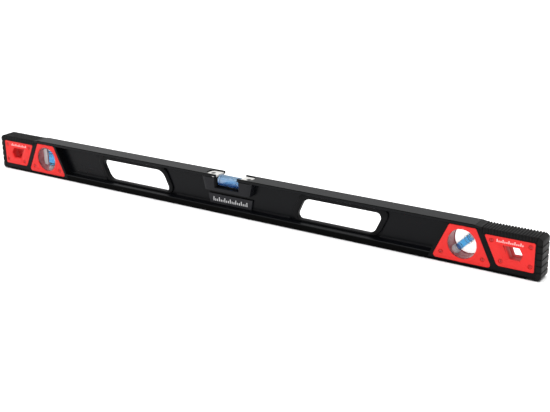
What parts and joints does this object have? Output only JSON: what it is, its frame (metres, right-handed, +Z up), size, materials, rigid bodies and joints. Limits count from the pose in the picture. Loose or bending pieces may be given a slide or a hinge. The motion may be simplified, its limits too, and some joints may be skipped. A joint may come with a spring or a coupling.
{
  "type": "spirit level",
  "caption": "Long black I-beam spirit level with rubber ends, two slanted hand holes, a level vial in the top edge, and a plumb and an angle vial in round windows in red end plates.",
  "frame": {"origin": "middle of the flat base the level stands on, under its centre", "axes": "+X along the level towards the end with the 45 degree vial, -Y the front face, +Z up from the base to the top edge"},
  "size_m": [1, 0.027, 0.0613],
  "materials": {
    "black_anodised": "black anodised, satin",
    "black_plastic": "satin moulded",
    "black_rubber": "matt",
    "grey_plastic": "matt",
    "red_plastic": "satin moulded",
    "cream_plastic": "satin moulded",
    "pale_plastic": "translucent, smooth",
    "clear_acrylic": "clear, polished",
    "blue_liquid": "clear liquid",
    "air_bubble": "air",
    "red_screw_paint": "red paint, satin",
    "dark_screw_steel": "blackened"
  },
  "bodies": {
    "frame": {"i_beam": "black_anodised", "end_core_left": "black_plastic", "end_cap_left": "black_rubber", "vial_ring_left": "pale_plastic", "vial_plate_left_front": "red_plastic", "hang_plate_left_front": "red_plastic", "vial_lens_left_front": "clear_acrylic", "hand_grip_left_front": "black_plastic", "vial_plate_left_back": "red_plastic", "hang_plate_left_back": "red_plastic", "vial_lens_left_back": "clear_acrylic", "hand_grip_left_back": "black_plastic", "plate_screw_left_1": "red_screw_paint", "plate_screw_left_2": "red_screw_paint", "plate_screw_left_3": "red_screw_paint", "plate_screw_left_4": "red_screw_paint", "plate_screw_left_5": "red_screw_paint", "plate_screw_left_6": "red_screw_paint", "vial_clamp_left": "cream_plastic", "clamp_screw_left": "dark_screw_steel", "end_core_right": "black_plastic", "end_cap_right": "black_rubber", "vial_ring_right": "pale_plastic", "vial_plate_right_front": "red_plastic", "hang_plate_right_front": "red_plastic", "vial_lens_right_front": "clear_acrylic", "hand_grip_right_front": "black_plastic", "vial_plate_right_back": "red_plastic", "hang_plate_right_back": "red_plastic", "vial_lens_right_back": "clear_acrylic", "hand_grip_right_back": "black_plastic", "plate_screw_right_1": "red_screw_paint", "plate_screw_right_2": "red_screw_paint", "plate_screw_right_3": "red_screw_paint", "plate_screw_right_4": "red_screw_paint", "plate_screw_right_5": "red_screw_paint", "plate_screw_right_6": "red_screw_paint", "vial_clamp_right": "cream_plastic", "clamp_screw_right": "dark_screw_steel", "vial_housing_front": "black_plastic", "name_plate_front": "grey_plastic", "vial_housing_back": "black_plastic", "name_plate_back": "grey_plastic", "level_vial_tube": "clear_acrylic", "level_vial_plug": "clear_acrylic", "level_vial_fluid": "blue_liquid", "plumb_vial_tube": "clear_acrylic", "plumb_vial_plug": "clear_acrylic", "plumb_vial_fluid": "blue_liquid", "angle_vial_tube": "clear_acrylic", "angle_vial_plug": "clear_acrylic", "angle_vial_fluid": "blue_liquid"},
    "level_bubble": {"level_vial_bubble": "air_bubble"},
    "plumb_bubble": {"plumb_vial_bubble": "air_bubble"},
    "angle_bubble": {"angle_vial_bubble": "air_bubble"}
  },
  "joints": [
    {"name": "level_bubble_slide", "type": "slide", "parent": "frame", "child": "level_bubble", "axis": [1, 0, 0], "range_m": [-0.009, 0.009], "stiffness_N_per_m": 0.5},
    {"name": "plumb_bubble_slide", "type": "slide", "parent": "frame", "child": "plumb_bubble", "axis": [0, 0, 1], "range_m": [-0.016, 0], "stiffness_N_per_m": 2.5, "springref_m": 0.02},
    {"name": "angle_bubble_slide", "type": "slide", "parent": "frame", "child": "angle_bubble", "axis": [0.7071, 0, 0.7071], "range_m": [-0.016, 0], "stiffness_N_per_m": 2.5, "springref_m": 0.02}
  ]
}
